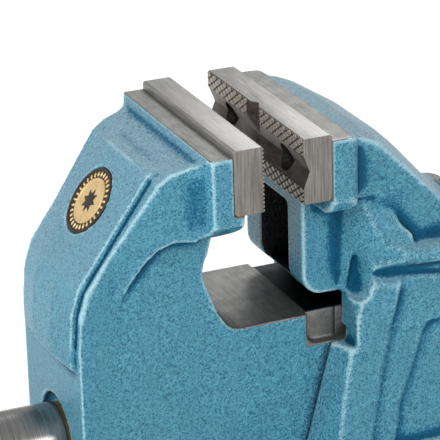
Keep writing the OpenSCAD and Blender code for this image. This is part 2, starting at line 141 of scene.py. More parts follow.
class Nodes:
    """A material's node tree, with short ways to add nodes and link them."""

    def __init__(self, name):
        self.material = bpy.data.materials.new(name)
        self.material.use_nodes = True
        self.tree = self.material.node_tree
        self.shader = self.tree.nodes["Principled BSDF"]

    def add(self, kind, settings=None, **inputs):
        node = self.tree.nodes.new(kind)
        for key, value in (settings or {}).items():
            setattr(node, key, value)
        for key, value in inputs.items():
            self.put(node.inputs[key.replace("_", " ")], value)
        return node

    def put(self, socket, value):
        if isinstance(value, bpy.types.NodeSocket):
            self.tree.links.new(value, socket)
        else:
            socket.default_value = value

    def place(self, stretch=(1, 1, 1)):
        """Object coordinates, squeezed by stretch along each axis."""
        coordinates = self.add("ShaderNodeTexCoord")
        mapping = self.add("ShaderNodeMapping", Scale=stretch)
        self.put(mapping.inputs["Vector"], coordinates.outputs["Object"])
        return mapping.outputs[0]

    def noise(self, size, detail=3.0, rough=0.55, stretch=(1, 1, 1)):
        """Noise from 0 to 1 with features about size metres across."""
        node = self.add("ShaderNodeTexNoise", Vector=self.place(stretch), Scale=1 / size,
                        Detail=detail, Roughness=rough)
        return node.outputs[0]

    def span(self, value, low, high, to_low=0.0, to_high=1.0):
        """value stretched from low..high to to_low..to_high and clamped."""
        node = self.add("ShaderNodeMapRange")
        self.put(node.inputs["Value"], value)
        for key, number in (("From Min", low), ("From Max", high), ("To Min", to_low), ("To Max", to_high)):
            node.inputs[key].default_value = number
        return node.outputs[0]

    def math(self, operation, a, b=0.0):
        node = self.add("ShaderNodeMath", {"operation": operation})
        self.put(node.inputs[0], a)
        self.put(node.inputs[1], b)
        return node.outputs[0]

    def mix(self, share, a, b):
        """Colour a where share is 0 and b where it is 1."""
        node = self.add("ShaderNodeMix", {"data_type": "RGBA"})
        factor, first, second = node.inputs[0], node.inputs[6], node.inputs[7]     # not for colours: 1 to 5
        self.put(factor, share)
        self.put(first, (*a, 1) if isinstance(a, tuple) else a)
        self.put(second, (*b, 1) if isinstance(b, tuple) else b)
        return node.outputs[2]

    def attribute(self, name):
        return self.add("ShaderNodeAttribute", {"attribute_name": name}).outputs["Fac"]

    def bump(self, height, distance, strength=1.0):
        node = self.add("ShaderNodeBump", Strength=strength, Distance=distance, Height=height)
        return node.outputs[0]

    def finish(self, **inputs):
        for key, value in inputs.items():
            self.put(self.shader.inputs[key.replace("_", " ")], value)
        return self.material


def srgb(text):
    """A hexadecimal sRGB colour as linear numbers."""
    channels = [int(text[i:i + 2], 16) / 255 for i in (0, 2, 4)]
    return tuple(c / 12.92 if c <= 0.04045 else ((c + 0.055) / 1.055) ** 2.4 for c in channels)


def floor_material():
    n = Nodes("pale_floor")
    tone = n.noise(0.3, 2)
    return n.finish(Base_Color=n.mix(n.span(tone, 0.3, 0.7), srgb("f4f4f2"), srgb("f8f8f7")), Roughness=0.9)


def bare_metal(n):
    """Colour, roughness and bump height of milled iron, its scratches across the vise."""
    tone = n.noise(9 * MM, 4, 0.6)
    line = n.noise(1.1 * MM, 4, 0.7, (1, 0.06, 1))
    colour = n.mix(n.span(tone, 0.3, 0.7), srgb("6f706e"), srgb("8e8e8b"))
    colour = n.mix(n.span(line, 0.35, 0.75, 0.0, 0.6), colour, srgb("4c4a47"))
    return colour, n.span(line, 0.2, 0.8, 0.32, 0.52), line


def paint_material():
    """Hammertone enamel.

    It has painted highlights on edges and painted shade in creases, hollows and under faces that look down,
    a painted sky reflection that makes it greyer where it faces up, black grease and painted shadow inside
    the guide, and bare metal where the casting is milled.
    """
    n = Nodes("hammertone_paint")
    fine = n.noise(0.95 * MM, 2, 0.5)
    coarse = n.noise(2.2 * MM, 2, 0.5)
    broad = n.noise(38 * MM, 2)
    hollow = n.attribute("hollow")
    grain = n.math("ADD", n.math("MULTIPLY", fine, 0.7), n.math("MULTIPLY", coarse, 0.3))
    speckle = n.math("SUBTRACT", fine, 0.5)
    jitter = n.math("MULTIPLY", n.math("SUBTRACT", grain, 0.5), 0.9)
    facing = n.add("ShaderNodeSeparateXYZ", Vector=n.add("ShaderNodeNewGeometry").outputs["Normal"])

    paint = n.mix(n.span(grain, 0.36, 0.64), srgb("115e78"), srgb("559fb6"))
    paint = n.mix(n.span(broad, 0.35, 0.7, 0.0, 0.25), paint, srgb("24778f"))
    # painted sky reflection: greyer on faces that look up
    paint = n.mix(n.span(facing.outputs["Z"], 0.2, 0.9, 0.0, 0.36), paint, srgb("94a0a8"))
    # painted shade: darker in wide hollows and under faces that look down
    paint = n.mix(n.span(n.math("ADD", hollow, jitter), -0.08, -0.44, 0.0, 0.95), paint, srgb("005273"))
    ragged = n.math("ADD", n.attribute("edge"), n.math("MULTIPLY", jitter, 0.6))
    # painted highlight: lighter along sharp convex edges
    paint = n.mix(n.span(ragged, 0.13, 0.4, 0.0, 0.7), paint, srgb("aad3df"))
    # painted shade: darker in narrow creases and on the slide's flank by the fixed body
    paint = n.mix(n.span(ragged, -0.08, -0.36, 0.0, 0.9), paint, srgb("003d58"))

    metal, metal_rough, line = bare_metal(n)
    bare = n.span(n.math("ADD", n.attribute("bare"), n.math("MULTIPLY", speckle, 0.5)), 0.44, 0.56)
    # black grease and painted shadow under the fixed jaw and inside the guide
    grease_and_shadow = n.span(n.math("ADD", n.attribute("grease_and_shadow"), n.math("MULTIPLY", speckle, 0.6)), 0.35, 0.65)
    colour = n.mix(grease_and_shadow, n.mix(bare, paint, metal), srgb("060a10"))
    lumps = n.math("MULTIPLY", grain, n.math("SUBTRACT", 1.0, bare))
    height = n.math("ADD", lumps, n.math("MULTIPLY", line, n.math("MULTIPLY", bare, 0.1)))
    rough = n.add("ShaderNodeMix")
    n.put(rough.inputs[0], bare)
    n.put(rough.inputs[2], n.span(grain, 0.3, 0.7, 0.24, 0.36))
    n.put(rough.inputs[3], metal_rough)
    return n.finish(Base_Color=colour, Roughness=rough.outputs[0], Metallic=n.math("MULTIPLY", bare, 0.85),
                    Specular_IOR_Level=n.span(hollow, -0.4, -0.05, 0.12, 0.5),
                    Normal=n.bump(height, 1.5 * MM, 1.0))


def brushed_material(name, light, dark, stretch, rough, grease_and_shadow_band=False):
    """Ground steel, its lines stretched along one axis.

    Its last argument adds a black band of grease and painted shadow from the guide, which fades out along
    the top of the slide.
    """
    n = Nodes(name)
    line = n.noise(0.9 * MM, 5, 0.7, stretch)
    tone = n.noise(14 * MM, 3)
    colour = n.mix(n.span(line, 0.32, 0.7), srgb(dark), srgb(light))
    colour = n.mix(n.span(tone, 0.4, 0.75, 0.0, 0.35), colour, srgb(dark))
    if grease_and_shadow_band:
        point = n.add("ShaderNodeSeparateXYZ", Vector=n.place())
        along = n.span(point.outputs["X"], SPLIT_X + 40 * MM, SPLIT_X + 2 * MM)
        on_top = n.span(point.outputs["Z"], RAIL_TOP - 1.4 * MM, RAIL_TOP - 0.4 * MM)
        # black grease and painted shadow from the guide, fading out along the top of the slide
        colour = n.mix(n.math("MULTIPLY", along, on_top), colour, srgb("0a0c10"))
    return n.finish(Base_Color=colour, Metallic=0.9, Roughness=n.span(line, 0.25, 0.75, *rough),
                    Normal=n.bump(line, 0.03 * MM, 0.6))


def turned_material(name, light, dark, rough=(0.2, 0.3)):
    """Turned steel: rings about the X axis, which change along X only."""
    n = Nodes(name)
    ring = n.noise(0.5 * MM, 3, 0.6, (1, 0.02, 0.02))
    stain = n.noise(17 * MM, 4, 0.65)
    colour = n.mix(n.span(ring, 0.3, 0.7), srgb(dark), srgb(light))
    colour = n.mix(n.span(stain, 0.5, 0.8, 0.0, 0.3), colour, srgb(dark))
    return n.finish(Base_Color=colour, Metallic=0.95, Roughness=n.span(ring, 0.3, 0.7, *rough),
                    Normal=n.bump(ring, 0.006 * MM, 0.3))


def dark_steel_material():
    n = Nodes("black_oxide")
    speck = n.noise(1.2 * MM, 4)
    worn = n.noise(5 * MM, 3)
    colour = n.mix(n.span(speck, 0.3, 0.7), srgb("2b2826"), srgb("403b37"))
    colour = n.mix(n.span(worn, 0.55, 0.8, 0.0, 0.5), colour, srgb("6a625b"))
    return n.finish(Base_Color=colour, Metallic=0.8, Roughness=n.span(speck, 0.3, 0.7, 0.38, 0.55),
                    Normal=n.bump(speck, 0.05 * MM, 0.5))


def bronze_material():
    n = Nodes("machined_bronze")
    ring = n.noise(1.4 * MM, 4, 0.6, (1, 0.2, 0.2))
    tone = n.noise(12 * MM, 3)
    colour = n.mix(n.span(tone, 0.3, 0.7), srgb("a67f45"), srgb("c79f5f"))
    colour = n.mix(n.span(ring, 0.4, 0.7, 0.0, 0.4), colour, srgb("7e5c2d"))
    return n.finish(Base_Color=colour, Metallic=0.9, Roughness=n.span(ring, 0.3, 0.7, 0.28, 0.45),
                    Normal=n.bump(ring, 0.04 * MM, 0.5))


def brass_material():
    n = Nodes("badge_brass")
    fine = n.noise(0.8 * MM, 4)
    tone = n.noise(7 * MM, 2)
    colour = n.mix(n.span(fine, 0.3, 0.7), srgb("cfae78"), srgb("e6cc9a"))
    colour = n.mix(n.span(tone, 0.5, 0.8, 0.0, 0.4), colour, srgb("b08d58"))
    return n.finish(Base_Color=colour, Metallic=0.55, Roughness=n.span(fine, 0.3, 0.7, 0.32, 0.48),
                    Normal=n.bump(fine, 0.05 * MM, 0.5))


def enamel_material():
    n = Nodes("badge_patina")
    fine = n.noise(1.3 * MM, 4)
    colour = n.mix(n.span(fine, 0.35, 0.65), srgb("1f1a14"), srgb("3a3024"))
    return n.finish(Base_Color=colour, Metallic=0.3, Roughness=n.span(fine, 0.3, 0.7, 0.4, 0.6),
                    Normal=n.bump(fine, 0.1 * MM, 0.6))


def groove_material():
    """Planed V grooves, browned with oil."""
    n = Nodes("oiled_groove")
    line = n.noise(1.3 * MM, 4, 0.65, (1, 0.15, 1))
    tone = n.noise(8 * MM, 3)
    colour = n.mix(n.span(line, 0.3, 0.7), srgb("463c37"), srgb("6b615b"))
    colour = n.mix(n.span(tone, 0.45, 0.75, 0.0, 0.6), colour, srgb("2c2622"))
    return n.finish(Base_Color=colour, Metallic=0.7, Roughness=n.span(line, 0.3, 0.7, 0.36, 0.55),
                    Normal=n.bump(line, 0.06 * MM, 0.6))


def knurl_material():
    """Hardened knurling: dark oil in the cuts, rubbed bright at the points."""
    n = Nodes("knurled_steel")
    fine = n.noise(0.9 * MM, 3)
    high = n.attribute("high")
    colour = n.mix(n.span(fine, 0.3, 0.7), srgb("8d857b"), srgb("aaa298"))
    colour = n.mix(n.span(high, 0.9, 0.3), colour, srgb("17130f"))
    return n.finish(Base_Color=colour, Metallic=0.75, Roughness=n.span(fine, 0.3, 0.7, 0.34, 0.5),
                    Normal=n.bump(fine, 0.04 * MM, 0.5))


def rubber_material():
    n = Nodes("black_rubber")
    fine = n.noise(0.7 * MM, 4)
    colour = n.mix(n.span(fine, 0.3, 0.7), srgb("161616"), srgb("262626"))
    return n.finish(Base_Color=colour, Roughness=n.span(fine, 0.3, 0.7, 0.6, 0.8),
                    Normal=n.bump(fine, 0.05 * MM, 0.5))


def plastic_material():
    n = Nodes("moulded_plastic")
    fine = n.noise(0.6 * MM, 3)
    tone = n.noise(22 * MM, 2)
    colour = n.mix(n.span(tone, 0.3, 0.7), srgb("1b1c1e"), srgb("26282a"))
    return n.finish(Base_Color=colour, Roughness=n.span(fine, 0.3, 0.7, 0.45, 0.6),
                    Normal=n.bump(fine, 0.08 * MM, 0.6))


# ------------------------------------------------------------------ mesh tools

def apply_modifiers(piece):
    """Leaves the piece with the mesh that its modifiers make, and no modifiers."""
    graph = bpy.context.evaluated_depsgraph_get()
    mesh = bpy.data.meshes.new_from_object(piece.evaluated_get(graph))
    piece.modifiers.clear()
    old = piece.data
    piece.data = mesh
    mesh.name = piece.name
    bpy.data.meshes.remove(old)


def cad_copy(node, name):
    """A new piece with a CAD node's shape, its split vertices joined."""
    piece = add(name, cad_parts[node].data.copy())
    piece.data.materials.clear()
    shape = bmesh.new()
    shape.from_mesh(piece.data)
    bmesh.ops.remove_doubles(shape, verts=shape.verts, dist=0.002 * MM)
    shape.to_mesh(piece.data)
    shape.free()
    return piece


def keep_side(piece, x, keep_lower):
    """Cuts the piece at a plane across X and closes the cut."""
    shape = bmesh.new()
    shape.from_mesh(piece.data)
    cut = bmesh.ops.bisect_plane(shape, geom=shape.verts[:] + shape.edges[:] + shape.faces[:],
                                 dist=0.001 * MM, plane_co=(x, 0, 0), plane_no=(1, 0, 0),
                                 clear_outer=keep_lower, clear_inner=not keep_lower)
    rim = [e for e in cut["geom_cut"] if isinstance(e, bmesh.types.BMEdge)]
    bmesh.ops.triangle_fill(shape, edges=rim, use_beauty=True)
    bmesh.ops.recalc_face_normals(shape, faces=shape.faces)
    shape.to_mesh(piece.data)
    shape.free()


def remesh(piece, voxel):
    modifier = piece.modifiers.new("remesh", "REMESH")
    modifier.mode = "VOXEL"
    modifier.voxel_size = voxel
    apply_modifiers(piece)


def points_of(mesh):
    co = np.empty(len(mesh.vertices) * 3)
    mesh.vertices.foreach_get("co", co)
    return co.reshape(-1, 3)


def normals_of(mesh):
    no = np.empty(len(mesh.vertices) * 3)
    mesh.vertices.foreach_get("normal", no)
    return no.reshape(-1, 3)


def edges_of(mesh):
    edges = np.empty(len(mesh.edges) * 2, int)
    mesh.edges.foreach_get("vertices", edges)
    return edges.reshape(-1, 2)


def relax(co, edges, weight, rounds):
    """Moves each point towards the mean of its neighbours, in proportion to its weight."""
    count = len(co)
    a, b = edges[:, 0], edges[:, 1]
    degree = np.bincount(edges.ravel(), minlength=count)[:, None]
    for _ in range(rounds):
        mean = np.stack([np.bincount(a, co[b, k], count) + np.bincount(b, co[a, k], count)
                         for k in range(3)], axis=1) / degree
        co = co + 0.5 * weight[:, None] * (mean - co)
    return co


def store(mesh, name, values):
    layer = mesh.attributes.new(name, "FLOAT", "POINT")
    layer.data.foreach_set("value", np.asarray(values, np.float32))


def inside(co, low, high):
    """1 for each point inside the box, else 0."""
    return np.all((co >= np.array(low)) & (co <= np.array(high)), axis=1).astype(float)


def bevel_edges(piece, width):
    shape = bmesh.new()
    shape.from_mesh(piece.data)
    bmesh.ops.dissolve_limit(shape, angle_limit=math.radians(0.5), verts=shape.verts, edges=shape.edges)
    shape.to_mesh(piece.data)
    shape.free()
    modifier = piece.modifiers.new("bevel", "BEVEL")
    modifier.width = width
    modifier.segments = 2
    modifier.limit_method = "ANGLE"
    modifier.angle_limit = math.radians(35)
    apply_modifiers(piece)
    shade_by_angle(piece)


def shade_by_angle(piece, angle=32):
    piece.data.shade_smooth()
    piece.data.set_sharp_from_angle(angle=math.radians(angle))


def lathe(name, profile, segments, start):
    """A new piece: (distance along, radius) pairs turned about a line along X through start."""
    verts, faces, rings = [], [], []
    for along, radius in profile:
        x = start[0] + along
        if radius == 0:
            verts.append((x, start[1], start[2]))
            rings.append([len(verts) - 1] * segments)
            continue
        rings.append(range(len(verts), len(verts) + segments))
        for i in range(segments):
            a = 2 * math.pi * i / segments
            verts.append((x, start[1] + radius * math.cos(a), start[2] + radius * math.sin(a)))
    for lower, upper in zip(rings, rings[1:]):
        for i in range(segments):
            j = (i + 1) % segments
            face = list(dict.fromkeys((lower[i], lower[j], upper[j], upper[i])))
            if len(face) > 2:
                faces.append(face)
    mesh = bpy.data.meshes.new(name)
    mesh.from_pydata(verts, [], faces)
    piece = add(name, mesh)
    close_normals(piece)
    return piece


def close_normals(piece):
    shape = bmesh.new()
    shape.from_mesh(piece.data)
    bmesh.ops.recalc_face_normals(shape, faces=shape.faces)
    shape.to_mesh(piece.data)
    shape.free()


def settle(piece, body, slot, material, *nodes):
    """Gives the piece its material and its body, and hides the CAD nodes that it stands for. The slot is
    not used.
    """
    if material:
        piece.data.materials.clear()
        piece.data.materials.append(material)
    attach(piece, body)
    if nodes:
        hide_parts(*nodes)


# ------------------------------------------------------------------ castings

# The moving jaw
THROAT_X = -104 * MM         # front end of the throat's floor
BORE_R = 15 * MM             # just outside the spindle's bore
RECESS_X = -177 * MM         # just before the floor of the washer's recess, where the bore starts
CHANNEL = ((-152 * MM, -24.6 * MM, 0), (0, 24.6 * MM, 84.6 * MM))               # open below, for the nut

# The fixed body: the pit beside the slab, on one side, the chamfer of the guide's lips, which clears the
# fillet of the slide's shoulder, the hollow between the ribs and the anvil
VALLEY = ((-35.5 * MM, 34.5 * MM, 115 * MM), (-22 * MM, 52 * MM, 152 * MM))
LIP_CHAMFER = ((-35 * MM, -39 * MM, 90 * MM), (-23 * MM, 39 * MM, 101 * MM))
RIB_HOLLOW = ((-54.2 * MM, -17.6 * MM, 112 * MM), (-20 * MM, 17.6 * MM, 166 * MM))
ANVIL = ((55 * MM, -FAR, 136 * MM), (FAR, FAR, FAR))

VALLEY_ROUNDS = 90
EDGE_ROUNDS = 12             # of smoothing, after which a point's shift tells how sharp its edge is
HOLLOW_ROUNDS = 60           # more, after which it tells how hollow its surroundings are


def cast(piece, voxel, bare, grease_and_shadow, rounds, thin, keep=None, relieve=None, soften=None):
    """Remeshes a casting, rounds its unmachined edges and stores what its paint depends on.

    bare(points, normals) gives 1 on milled faces. They keep their shape, and so does what is inside the box
    keep. The third argument, given points, gives 1 where the paint turns black, for grease and painted
    shadow.
    relieve(points) cuts it back to clear other parts. It is smoother inside the box soften, which stands
    for both sides.
    """
    remesh(piece, voxel)
    mesh = piece.data
    co, edges = points_of(mesh), edges_of(mesh)
    milled = bare(co, normals_of(mesh))
    weight = 1 - milled
    if keep:
        weight *= 1 - inside(co, *keep)
    co = relax(co, edges, weight, rounds)
    if soften:
        one_side = np.stack([co[:, 0], np.abs(co[:, 1]), co[:, 2]], axis=1)
        co = relax(co, edges, weight * inside(one_side, *soften), VALLEY_ROUNDS)
    if relieve:
        co = relieve(co)
    mesh.vertices.foreach_set("co", co.ravel())
    mesh.update()
    store(mesh, "bare", milled)
    store(mesh, "grease_and_shadow", grease_and_shadow(co))
    store_relief(mesh, co, edges)
    modifier = piece.modifiers.new("thin", "DECIMATE")
    modifier.ratio = thin
    apply_modifiers(piece)
    piece.data.shade_smooth()


def store_relief(mesh, co, edges):
    """Stores how far each point stands out, in millimetres, from its near and its wide surroundings, for
    the painted highlights on edges and the painted shade in creases and hollows. The painted shadow by the
    slide's joint is taken off the near one, and painted shade on faces that look down off the wide one.
    """
    no = normals_of(mesh)
    everywhere = np.ones(len(co))
    near = relax(co, edges, everywhere, EDGE_ROUNDS)
    store(mesh, "edge", np.einsum("ij,ij->i", co - near, no) / MM - joint_shade(co))
    wide = relax(near, edges, everywhere, HOLLOW_ROUNDS)
    # painted shade under faces that look down
    underside = np.clip(-no[:, 2] - 0.05, 0, 1)
    store(mesh, "hollow", np.einsum("ij,ij->i", co - wide, no) / MM - 0.8 * underside)


def joint_shade(co):
    """0 to 0.4 of painted shadow on the flank of the slide, by the leaning front of the fixed body."""
    x, y, z = co[:, 0], np.abs(co[:, 1]), co[:, 2]
    front_x = np.interp(z, (38 * MM, 112 * MM), (-54 * MM, -35.5 * MM))
    near = np.clip((x - front_x + 7 * MM) / (6 * MM), 0, 1) * (x < front_x + 3 * MM)
    flank = (y > SLIDE_HALF - 0.9 * MM) & (y < SLIDE_HALF + 1.7 * MM) & (z < SHOULDER_TOP + 1 * MM)
    return 0.4 * near * flank


def inside_section(co, half, bottom, top):
    """1 for each point inside a bar along X that is centred across the vise, else 0."""
    return inside(co, (-FAR, -half, bottom), (FAR, half, top))


def front_bare(co, no):
    """Milled faces of the moving jaw: the seat, the throat's floor, the rail, the bore and the channel."""
    seat_x = front_plate_low.x
    strip = inside(co, (seat_x - 11.4 * MM, -FAR, plate_top - 6 * MM), (seat_x + 1 * MM, FAR, FAR))
    seat = inside(co, (seat_x - 0.6 * MM, -FAR, front_plate_low.z - 1 * MM), (seat_x + 7 * MM, FAR, FAR))
    floor = inside(co, (THROAT_X, -FAR, RAIL_TOP - 3 * MM), (SPLIT_X, FAR, RAIL_TOP + 14 * MM))
    rail = inside(co, (SHOULDER_X - 1.2 * MM, -FAR, SHOULDER_TOP - 0.7 * MM),
                  (SPLIT_X + 1 * MM, FAR, RAIL_TOP + 1 * MM))
    bore = (np.hypot(co[:, 1], co[:, 2] - spindle_z) < BORE_R) & (co[:, 0] > RECESS_X)
    cut = co[:, 0] > SPLIT_X - 0.8 * MM
    channel = inside(co, *CHANNEL)
    up = no[:, 2]
    return np.clip(strip * (up > 0.85) + seat + floor * (up > 0.25) + rail + bore + cut + channel, 0, 1)


def rear_bare(co, no):
    """Milled faces of the fixed body: the seat behind the plate, the guide, the anvil and the underside."""
    seat_x = rear_plate_high.x
    strip = inside(co, (seat_x - 1 * MM, -FAR, plate_top - 4 * MM), (seat_x + 13 * MM, FAR, FAR))
    seat = inside(co, (seat_x - 12 * MM, -FAR, rear_plate_low.z - 1 * MM), (seat_x + 0.6 * MM, FAR, FAR))
    anvil = inside(co, *ANVIL)
    under = co[:, 2] < 0.4 * MM
    guide = inside_section(co, SLIDE_HALF + 0.4 * MM, SLIDE_BOTTOM - 0.7 * MM, SHOULDER_TOP + 0.4 * MM)
    upper = inside_section(co, RAIL_HALF + 0.5 * MM, SLIDE_BOTTOM - 0.7 * MM, RAIL_TOP + 0.5 * MM)
    up = no[:, 2]
    return np.clip(strip * (up > 0.9) + seat + anvil * (up > 0.2) + under + guide + upper, 0, 1)


def relieve_guide(co):
    """Cuts back the guide's corners, rounded by the remeshing, so that the slide clears them all the way.

    Points within reach of a corner go at least as far as clear from the slide's section less inset.
    """
    y, z = np.abs(co[:, 1]), co[:, 2]
    inset, clear, reach = 1.5 * MM, 2.5 * MM, 2 * MM
    bottom = SLIDE_BOTTOM - SLIDE_GAP
    wide, narrow = SLIDE_HALF + SLIDE_GAP, RAIL_HALF + SLIDE_GAP
    shoulder, top = SHOULDER_TOP + SLIDE_GAP, RAIL_TOP + SLIDE_GAP
    off_y, off_z = np.full(len(co), FAR), np.full(len(co), FAR)
    for half, height in ((SLIDE_HALF, SHOULDER_TOP), (RAIL_HALF, RAIL_TOP)):
        dy = np.maximum(y - half + inset, 0)
        dz = z - np.clip(z, SLIDE_BOTTOM + inset, height - inset)
        nearer = np.hypot(dy, dz) < np.hypot(off_y, off_z)
        off_y, off_z = np.where(nearer, dy, off_y), np.where(nearer, dz, off_z)
    away = np.hypot(off_y, off_z)
    corner = np.zeros(len(co), bool)
    for corner_y, corner_z in ((wide, bottom), (wide, shoulder), (narrow, shoulder), (narrow, top)):
        corner |= np.hypot(y - corner_y, z - corner_z) < reach
    push = np.where(corner & (away < clear), clear / np.maximum(away, 0.2 * MM) - 1, 0)
    return co + np.stack([0 * y, push * off_y * np.sign(co[:, 1]), push * off_z], axis=1)


def front_grease_and_shadow(co):
    """Black grease and painted shadow on the top of the rail under the fixed jaw."""
    half = RAIL_HALF + 1 * MM
    return inside(co, (SHOULDER_X + 1 * MM, -half, RAIL_TOP - 0.7 * MM), (0, half, RAIL_TOP + 1 * MM))


def rear_grease_and_shadow(co):
    """Black grease and painted shade in the hollow between the ribs and on the roof of the guide."""
    roof = inside_section(co, RAIL_HALF + 0.6 * MM, SHOULDER_TOP + 4 * MM, RAIL_TOP + 10 * MM)
    return np.maximum(inside(co, *RIB_HOLLOW), roof)


def make_front_casting(paint):
    piece = cad_copy("front_jaw", "front_casting")
    keep_side(piece, SPLIT_X, True)
    cast(piece, 0.9 * MM, front_bare, front_grease_and_shadow, rounds=4, thin=0.6)
    settle(piece, "moving_jaw", "paint", paint, "front_jaw")


def make_slide(steel):
    piece = cad_copy("front_jaw", "slide_bar")
    keep_side(piece, SPLIT_X, False)
    bevel_edges(piece, 0.5 * MM)
    settle(piece, "moving_jaw", "jaw_steel", steel)


def make_rear_casting(paint):
    piece = cad_copy("rear_body", "rear_casting")
    cast(piece, 1.05 * MM, rear_bare, rear_grease_and_shadow, rounds=5, thin=0.5, keep=LIP_CHAMFER,
         relieve=relieve_guide, soften=VALLEY)
    settle(piece, "fixed_body", "paint", paint, "rear_body")


# ------------------------------------------------------------------ jaw plates

PLATE_SCREW_Y = 35 * MM        # plate screws, from the middle
COUNTERBORE_R = 7.1 * MM
GROOVE_HALF = 8.65 * MM        # half height of the prism plate's horizontal groove
UPRIGHT_HALF = 8.4 * MM        # and half width of its upright one
KNURL_PITCH_Y = 6.8 * MM
KNURL_PITCH_Z = 4.3 * MM
KNURL_DEPTH = 0.5 * MM
KNURL_SLOPE = 3.2              # of the cuts' flanks: at 1 the flat tops would come to points
FACE_CHAMFER = 1 * MM          # at the top edge of the gripping face
GRID = 0.38 * MM               # of the knurled mesh


def knurl_height(y, z):
    """0 at the bottom of the cuts and 1 on the flat tops, for two sets of diagonal cuts."""
    along, up = y / KNURL_PITCH_Y, z / KNURL_PITCH_Z
    ridge_u = 1 - np.abs(2 * ((along + up) % 1.0) - 1)
    ridge_v = 1 - np.abs(2 * ((along - up) % 1.0) - 1)
    return np.clip(KNURL_SLOPE * np.minimum(ridge_u, ridge_v), 0, 1)


def knurl_block(y0, y1, z0, z1, face_x, outward, top_z, holes=()):
    """Points, faces and heights of a closed slab with round holes, whose knurled front reaches face_x."""
    ny, nz = round((y1 - y0) / GRID), round((z1 - z0) / GRID)
    y, z = np.meshgrid(np.linspace(y0, y1, ny + 1), np.linspace(z0, z1, nz + 1), indexing="ij")
    keep = np.ones((ny, nz), bool)
    middle_y = (y[1:, 1:] + y[:-1, :-1]) / 2
    middle_z = (z[1:, 1:] + z[:-1, :-1]) / 2
    for hole_y, hole_z, radius in holes:
        keep &= np.hypot(middle_y - hole_y, middle_z - hole_z) > radius
        reach = np.hypot(y - hole_y, z - hole_z)
        scale = np.where(np.abs(reach - radius) < 0.75 * GRID, radius / np.maximum(reach, GRID), 1.0)
        y, z = hole_y + (y - hole_y) * scale, hole_z + (z - hole_z) * scale
    high = knurl_height(y, z)
    sunk = np.maximum(KNURL_DEPTH * (1 - high), FACE_CHAMFER - (top_z - z))
    front = np.stack([face_x - outward * sunk, y, z], axis=-1).reshape(-1, 3)
    rear = np.stack([np.full_like(y, face_x - outward * 4 * KNURL_DEPTH), y, z], axis=-1).reshape(-1, 3)
    index = np.arange((ny + 1) * (nz + 1)).reshape(ny + 1, nz + 1)
    i, j = np.nonzero(keep)
    cells = np.stack([index[i, j], index[i + 1, j], index[i + 1, j + 1], index[i, j + 1]], axis=1)
    sides = {(int(a), int(b)) for k in range(4) for a, b in zip(cells[:, k], cells[:, (k + 1) % 4])}
    rim = [(a, b) for a, b in sides if (b, a) not in sides]
    faces = cells.tolist() + (cells[:, ::-1] + index.size).tolist()
    faces += [(b, a, a + index.size, b + index.size) for a, b in rim]
    return np.concatenate([front, rear]), faces, np.concatenate([high.ravel(), np.zeros(index.size)])


def plate_blocks(low, high, face_x, outward, prism):
    """The knurled areas: four lands round the prism plate's V grooves, the whole face of the flat plate."""
    edge = 0.4 * MM
    side, bottom, top = half_jaw - edge, low.z + 0.6 * MM, high.z - edge
    middle = (low.z + high.z) / 2
    if not prism:
        holes = [(screw_y, middle, COUNTERBORE_R) for screw_y in (-PLATE_SCREW_Y, PLATE_SCREW_Y)]
        return [knurl_block(-side, side, bottom, top, face_x, outward, high.z, holes)]
    spans_z = ((bottom, middle - GROOVE_HALF), (middle + GROOVE_HALF, top))
    spans_y = ((-side, -UPRIGHT_HALF), (UPRIGHT_HALF, side))
    return [knurl_block(*span_y, *span_z, face_x, outward, high.z)
            for span_z in spans_z for span_y in spans_y]


def inside_hole(point, low, high):
    """True on the walls and floors of the counterbores."""
    away = math.hypot(abs(point.y) - PLATE_SCREW_Y, point.z - (low.z + high.z) / 2)
    return away < COUNTERBORE_R + 0.1 * MM and low.x + 0.2 * MM < point.x < high.x - 0.2 * MM


def make_plate(name, node, body, outward, prism, materials):
    """A jaw plate: bevelled ground block with knurled areas set into its face."""
    low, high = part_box(node)
    face_x = high.x if outward > 0 else low.x
    piece = cad_copy(node, name)
    mesh = piece.data
    co = points_of(mesh)
    on_face = np.abs(co[:, 0] - face_x) < 0.02 * MM
    co[on_face, 0] -= outward * 1.3 * KNURL_DEPTH
    mesh.vertices.foreach_set("co", co.ravel())
    mesh.update()
    bevel_edges(piece, 0.5 * MM)
    mesh = piece.data
    for material in materials:
        mesh.materials.append(material)
    top, end, groove, knurl, hole = range(5)
    for face in mesh.polygons:
        normal, centre = face.normal, face.center
        from_face = (face_x - centre.x) * outward
        if abs(normal.y) > 0.9 and abs(centre.y) > half_jaw - 1.5 * MM:
            face.material_index = end
        elif inside_hole(centre, low, high):
            face.material_index = hole
        elif from_face < 5 * MM and abs(centre.y) < half_jaw - 1 * MM and normal.z < 0.98:
            face.material_index = groove
        else:
            face.material_index = top
    join_blocks(piece, plate_blocks(low, high, face_x, outward, prism), knurl)
    settle(piece, body, "jaw_steel", None, node)


def join_blocks(piece, blocks, material_index):
    """Adds the knurled blocks to the plate as closed parts of its own mesh."""
    base = piece.data
    verts = [tuple(v.co) for v in base.vertices]
    faces = [tuple(p.vertices) for p in base.polygons]
    slots = [p.material_index for p in base.polygons]
    height = [0.5] * len(verts)
    for points, block_faces, high in blocks:
        start = len(verts)
        verts += [tuple(p) for p in points]
        faces += [tuple(int(i) + start for i in face) for face in block_faces]
        slots += [material_index] * len(block_faces)
        height += list(high)
    mesh = bpy.data.meshes.new(piece.name)
    mesh.from_pydata(verts, [], faces)
    for material in base.materials:
        mesh.materials.append(material)
    mesh.polygons.foreach_set("material_index", slots)
    store(mesh, "high", height)
    piece.data = mesh
    bpy.data.meshes.remove(base)
    close_normals(piece)
    shade_by_angle(piece, 25)


# ------------------------------------------------------------------ spindle

THREAD_PITCH = 5 * MM


